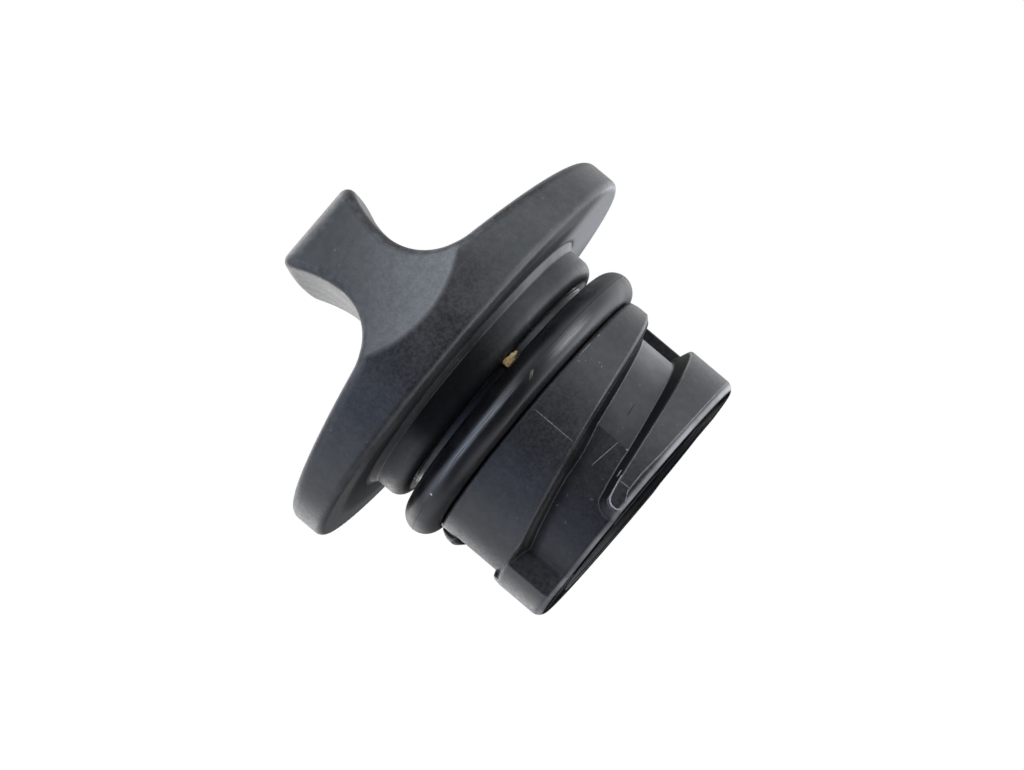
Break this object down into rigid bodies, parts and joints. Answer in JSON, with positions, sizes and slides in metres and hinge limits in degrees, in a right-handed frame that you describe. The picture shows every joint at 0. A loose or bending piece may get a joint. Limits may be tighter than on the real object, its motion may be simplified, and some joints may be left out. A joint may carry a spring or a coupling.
{
  "type": "oil filler cap",
  "caption": "Black moulded bayonet cap for an engine oil filler neck: waisted grip bar on a round flange, hollow plug with rising lug channels, and a rubber ring in a groove.",
  "frame": {"origin": "centre of the plug's mouth rim, on the plane that the cap stands on", "axes": "+Z along the plug's axis from the mouth to the grip, Y along the grip bar"},
  "size_m": [0.0628, 0.0628, 0.0561],
  "materials": {
    "cap_plastic": "fine-grained satin black, glass-filled nylon",
    "seal_rubber": "smooth, slightly oily black rubber"
  },
  "bodies": {
    "root": {"cap_body": "cap_plastic", "o_ring": "seal_rubber"}
  },
  "joints": []
}
